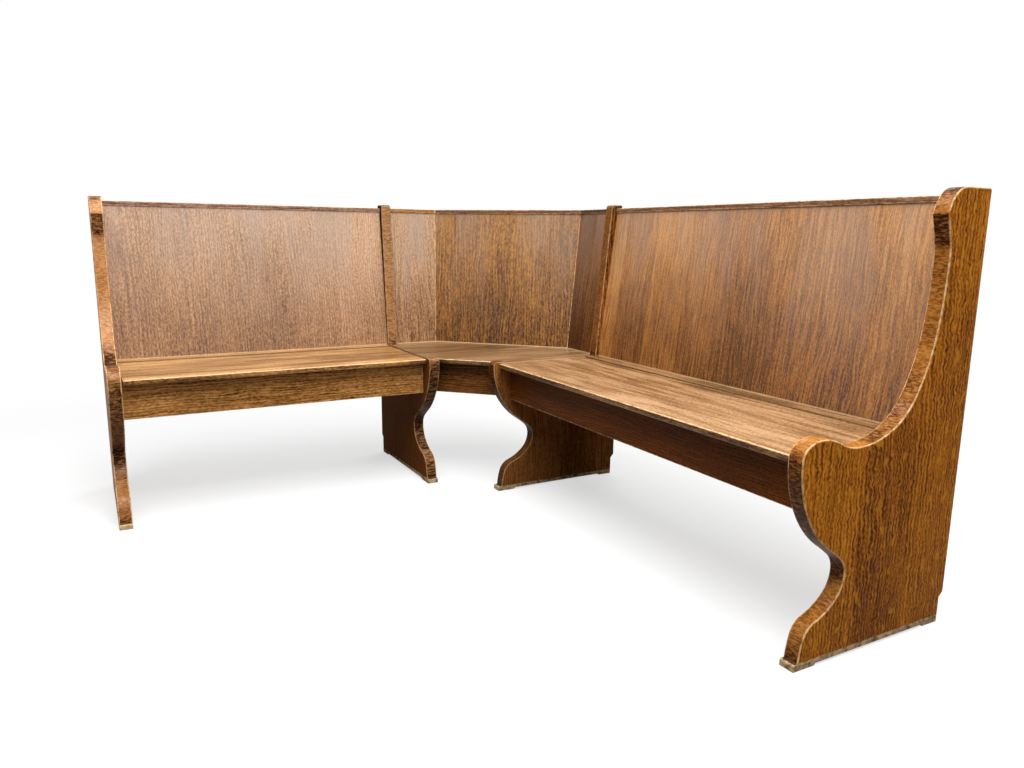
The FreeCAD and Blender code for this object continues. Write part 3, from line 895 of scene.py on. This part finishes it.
def seen_directly(g):
    """1 for camera, glossy and transmission rays, 0 for the light that a surface sheds."""
    path = g.add("ShaderNodeLightPath").outputs
    first = g.maths("MAXIMUM", path["Is Camera Ray"], path["Is Glossy Ray"])
    return g.maths("MAXIMUM", first, path["Is Transmission Ray"])


def add_world(ambient):
    """White background, with a softer level for the light that it sheds on the object."""
    world = bpy.data.worlds.new("studio")
    world.use_nodes = True
    g = Graph("studio", world.node_tree)
    strength = g.maths("MAXIMUM", seen_directly(g), ambient)
    g.feed(world.node_tree.nodes["Background"].inputs["Color"], (1, 1, 1, 1))
    g.feed(world.node_tree.nodes["Background"].inputs["Strength"], strength)
    bpy.context.scene.world = world


def add_floor(size, pale, shade, fade_start, fade_end):
    """Pale floor, white to the eye, that keeps part of the object's shadow near the object."""
    bm = bmesh.new()
    bmesh.ops.create_grid(bm, x_segments=1, y_segments=1, size=size)
    mesh = bpy.data.meshes.new("floor")
    bm.to_mesh(mesh)
    bm.free()
    g = Graph("pale_floor")
    seen = seen_directly(g)
    grey = g.maths("MAXIMUM", seen, pale)
    matte = g.add("ShaderNodeBsdfDiffuse", {"Color": g.join(grey, grey, grey)}).outputs[0]
    white = g.add("ShaderNodeEmission").outputs[0]
    nearness = g.between(g.vector("LENGTH", g.place), fade_start, fade_end, shade, 0.0)
    share = g.maths("MULTIPLY", seen, g.maths("SUBTRACT", 1.0, nearness))
    surface = g.add("ShaderNodeMixShader", {"Fac": share, 1: matte, 2: white}).outputs[0]
    g.feed(g.tree.nodes["Material Output"].inputs["Surface"], surface)
    mesh.materials.append(g.material)
    floor = bpy.data.objects.new("floor", mesh)
    bpy.context.scene.collection.objects.link(floor)


dress_bench("left")
dress_bench("right")
dress_corner()
finish_solids()

add_camera()
add_world(ambient=0.06)
add_floor(size=12.0, pale=0.2, shade=0.4, fade_start=1.6, fade_end=3.2)
add_softbox("overhead", place=(-0.4, -0.7, 3.3), target=(-0.2, -0.3, 0.4), width=3.4, depth=3.4, power=215)
add_softbox("strip", place=(-0.6, -1.6, 2.6), target=(-0.4, 0.3, 0.5), width=2.6, depth=0.2, power=8)
add_softbox("front", place=(0.4, -3.3, 3.5), target=(-0.1, 0.3, 0.6), width=2.6, depth=2.0, power=67)
add_softbox("rear", place=(2.4, 2.6, 2.4), target=(0.3, 0.3, 0.5), width=2.4, depth=2.4, power=60)

bpy.context.scene.view_settings.view_transform = "Standard"
